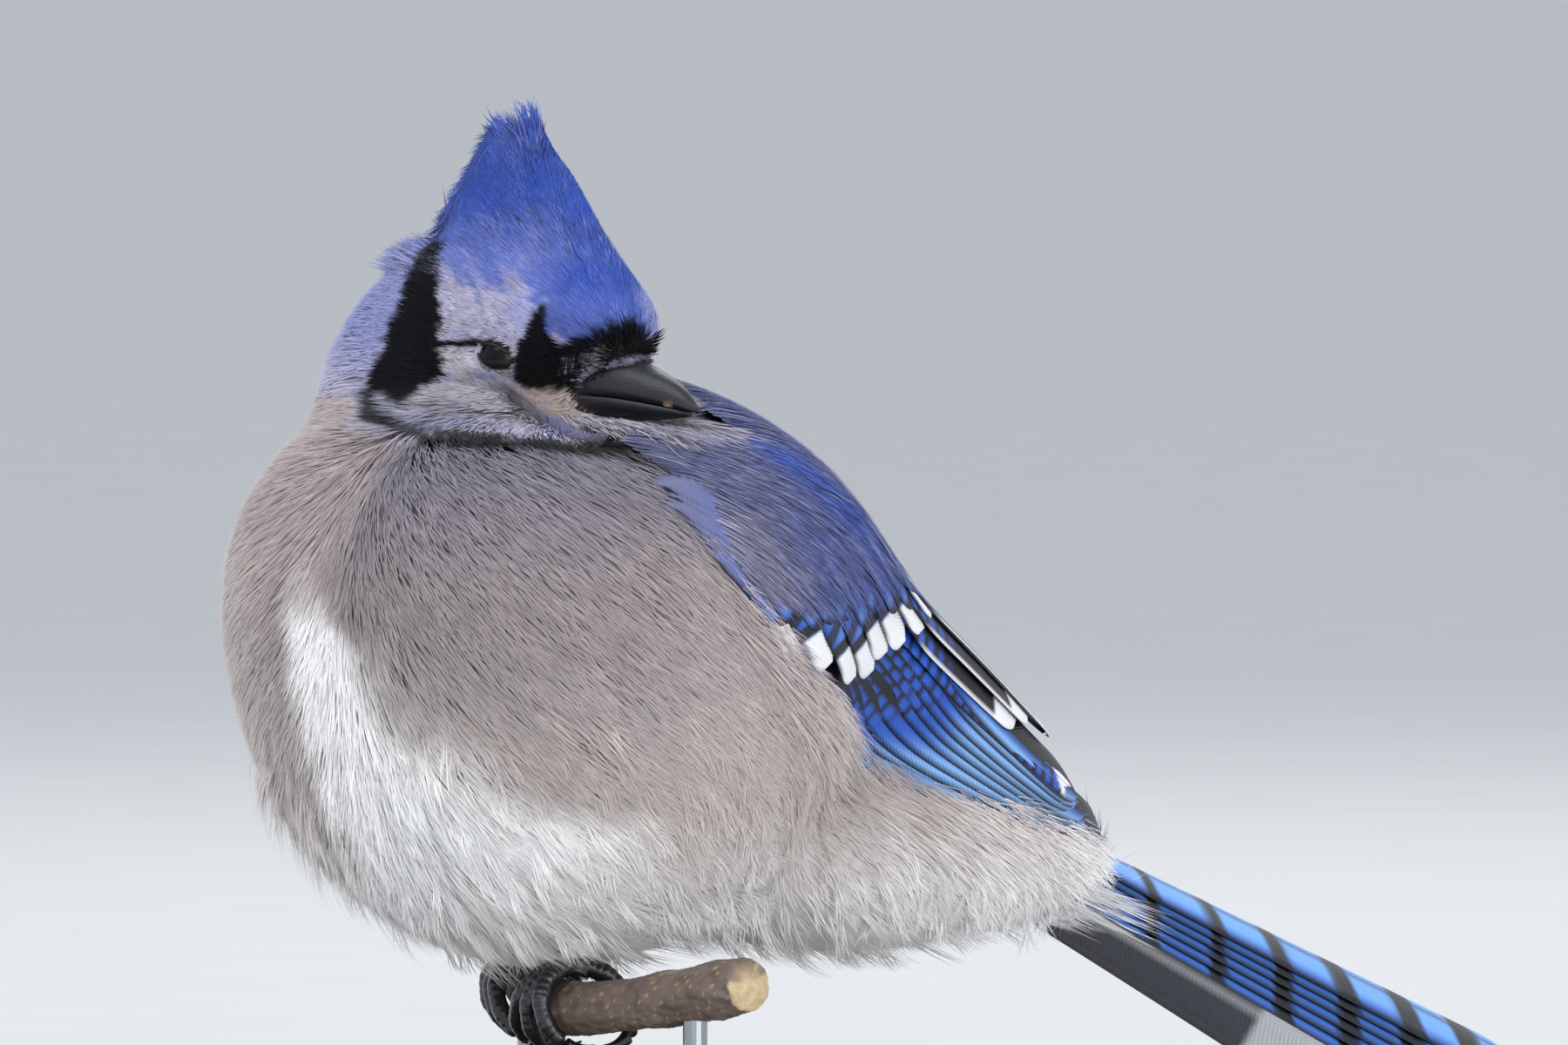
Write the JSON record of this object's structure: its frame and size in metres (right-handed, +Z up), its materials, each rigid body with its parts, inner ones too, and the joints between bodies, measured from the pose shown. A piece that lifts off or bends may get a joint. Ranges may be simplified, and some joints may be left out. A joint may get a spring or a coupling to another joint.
{
  "type": "perched crested songbird",
  "caption": "Still life-size crested jay with fluffed plumage and turned head, gripping a short twig held by two rods on a flat display base.",
  "frame": {"origin": "centre of the flat underside of the display base", "axes": "+Z up; the bird's breast faces -Y, its left side is +X and the tail runs toward +Y; the twig runs along X"},
  "size_m": [0.1148, 0.2427, 0.1842],
  "materials": {
    "breast_plumage": "soft warm grey body feathers, white belly",
    "nape_plumage": "soft lavender feathers with a black band",
    "face_plumage": "pale face feathers with black eye line and lores",
    "crest_plumage": "royal blue crest feathers",
    "eye": "wet dark brown eye",
    "horn_bill": "satin charcoal horn",
    "horn_claw": "glossy black horn",
    "wing_feathers": "cobalt and azure vanes barred black, tipped white",
    "tail_feathers": "sky blue vanes barred black, white outer tips",
    "foot_skin": "dark scaled skin",
    "bark": "grey-brown bark with cut ends",
    "base_wood": "dark satin lacquer",
    "rod_steel": "plain brushed rod"
  },
  "bodies": {
    "root": {"torso": "breast_plumage", "neck": "nape_plumage", "head": "face_plumage", "crest": "crest_plumage", "eye_right": "eye", "eye_left": "eye", "bill_upper": "horn_bill", "bill_lower": "horn_bill", "wing_left": "wing_feathers", "wing_right": "wing_feathers", "tail": "tail_feathers", "leg_right": "foot_skin", "leg_left": "foot_skin", "foot_right": "foot_skin", "foot_left": "foot_skin", "perch_twig": "bark", "stand_base": "base_wood", "stand_rod_1": "rod_steel", "stand_rod_2": "rod_steel", "claw_right_inner": "horn_claw", "claw_right_middle": "horn_claw", "claw_right_outer": "horn_claw", "claw_right_hind": "horn_claw", "claw_left_inner": "horn_claw", "claw_left_middle": "horn_claw", "claw_left_outer": "horn_claw", "claw_left_hind": "horn_claw"}
  },
  "joints": []
}
